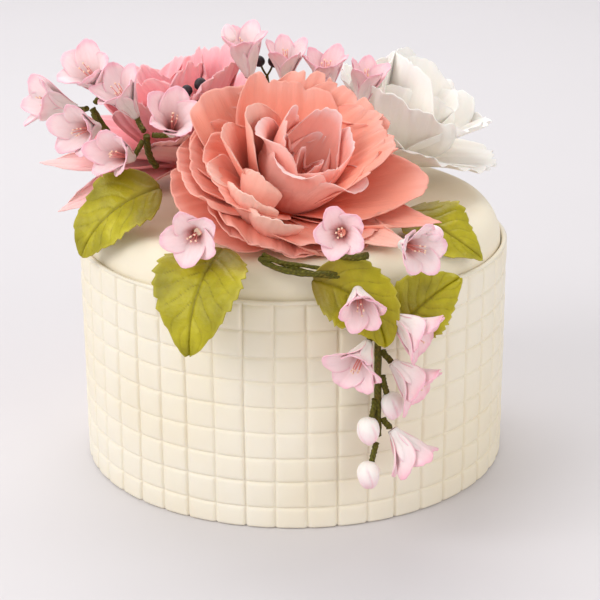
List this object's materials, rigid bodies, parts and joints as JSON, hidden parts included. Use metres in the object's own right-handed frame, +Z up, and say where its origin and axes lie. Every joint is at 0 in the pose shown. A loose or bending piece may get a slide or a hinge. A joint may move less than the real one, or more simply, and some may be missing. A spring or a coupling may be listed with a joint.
{
  "type": "fondant cake with sugar flowers",
  "caption": "Tall round fondant cake wrapped in a square-grid embossed band, topped with a spray of large sugar peonies, small blossoms, leaves and dark berries.",
  "frame": {"origin": "centre of the cake's flat round base", "axes": "+Z up the cake's axis, -Y towards the front where the flower spray hangs down, +X to the right seen from the front"},
  "size_m": [0.2248, 0.2297, 0.1994],
  "materials": {
    "cake_fondant": "matte ivory sugar paste",
    "band_fondant": "matte ivory sugar paste, embossed",
    "coral_petals": "matte dusted sugar petal",
    "pink_petals": "matte dusted sugar petal",
    "white_petals": "matte sugar petal",
    "blossom_petals": "soft satin sugar petal",
    "leaf_green": "satin dusted sugar leaf",
    "stem_tape": "crimped floral tape",
    "bud_petals": "soft satin sugar petal",
    "berry_skin": "matte dark sugar berry"
  },
  "bodies": {
    "root": {"cake_body": "cake_fondant", "grid_band": "band_fondant", "flower_coral": "coral_petals", "flower_pink": "pink_petals", "flower_white": "white_petals", "berry_1": "berry_skin", "berry_2": "berry_skin", "berry_3": "berry_skin", "berry_4": "berry_skin", "berry_5": "berry_skin", "berry_6": "berry_skin", "blossom_1": "blossom_petals", "blossom_10": "blossom_petals", "blossom_11": "blossom_petals", "blossom_12": "blossom_petals", "blossom_13": "blossom_petals", "blossom_14": "blossom_petals", "blossom_15": "blossom_petals", "blossom_16": "blossom_petals", "blossom_17": "blossom_petals", "blossom_18": "blossom_petals", "blossom_2": "blossom_petals", "blossom_3": "blossom_petals", "blossom_4": "blossom_petals", "blossom_5": "blossom_petals", "blossom_6": "blossom_petals", "blossom_7": "blossom_petals", "blossom_8": "blossom_petals", "blossom_9": "blossom_petals", "branch_front": "stem_tape", "branch_left_long": "stem_tape", "branch_left_short": "stem_tape", "bud_long": "bud_petals", "bud_low": "bud_petals", "bud_right": "bud_petals", "bud_round": "bud_petals", "bud_top": "bud_petals", "leaf_front": "leaf_green", "leaf_front_left": "leaf_green", "leaf_left": "leaf_green", "leaf_lower_right": "leaf_green", "leaf_right": "leaf_green", "pedicel_blossom_1": "stem_tape", "pedicel_blossom_15": "stem_tape", "pedicel_blossom_16": "stem_tape", "pedicel_blossom_17": "stem_tape", "pedicel_blossom_18": "stem_tape", "pedicel_blossom_2": "stem_tape", "pedicel_blossom_3": "stem_tape", "pedicel_blossom_4": "stem_tape", "pedicel_blossom_5": "stem_tape", "pedicel_blossom_6": "stem_tape", "pedicel_bud_long": "stem_tape", "pedicel_bud_low": "stem_tape", "pedicel_bud_round": "stem_tape", "stem_front": "stem_tape", "stem_hanging": "stem_tape"}
  },
  "joints": []
}
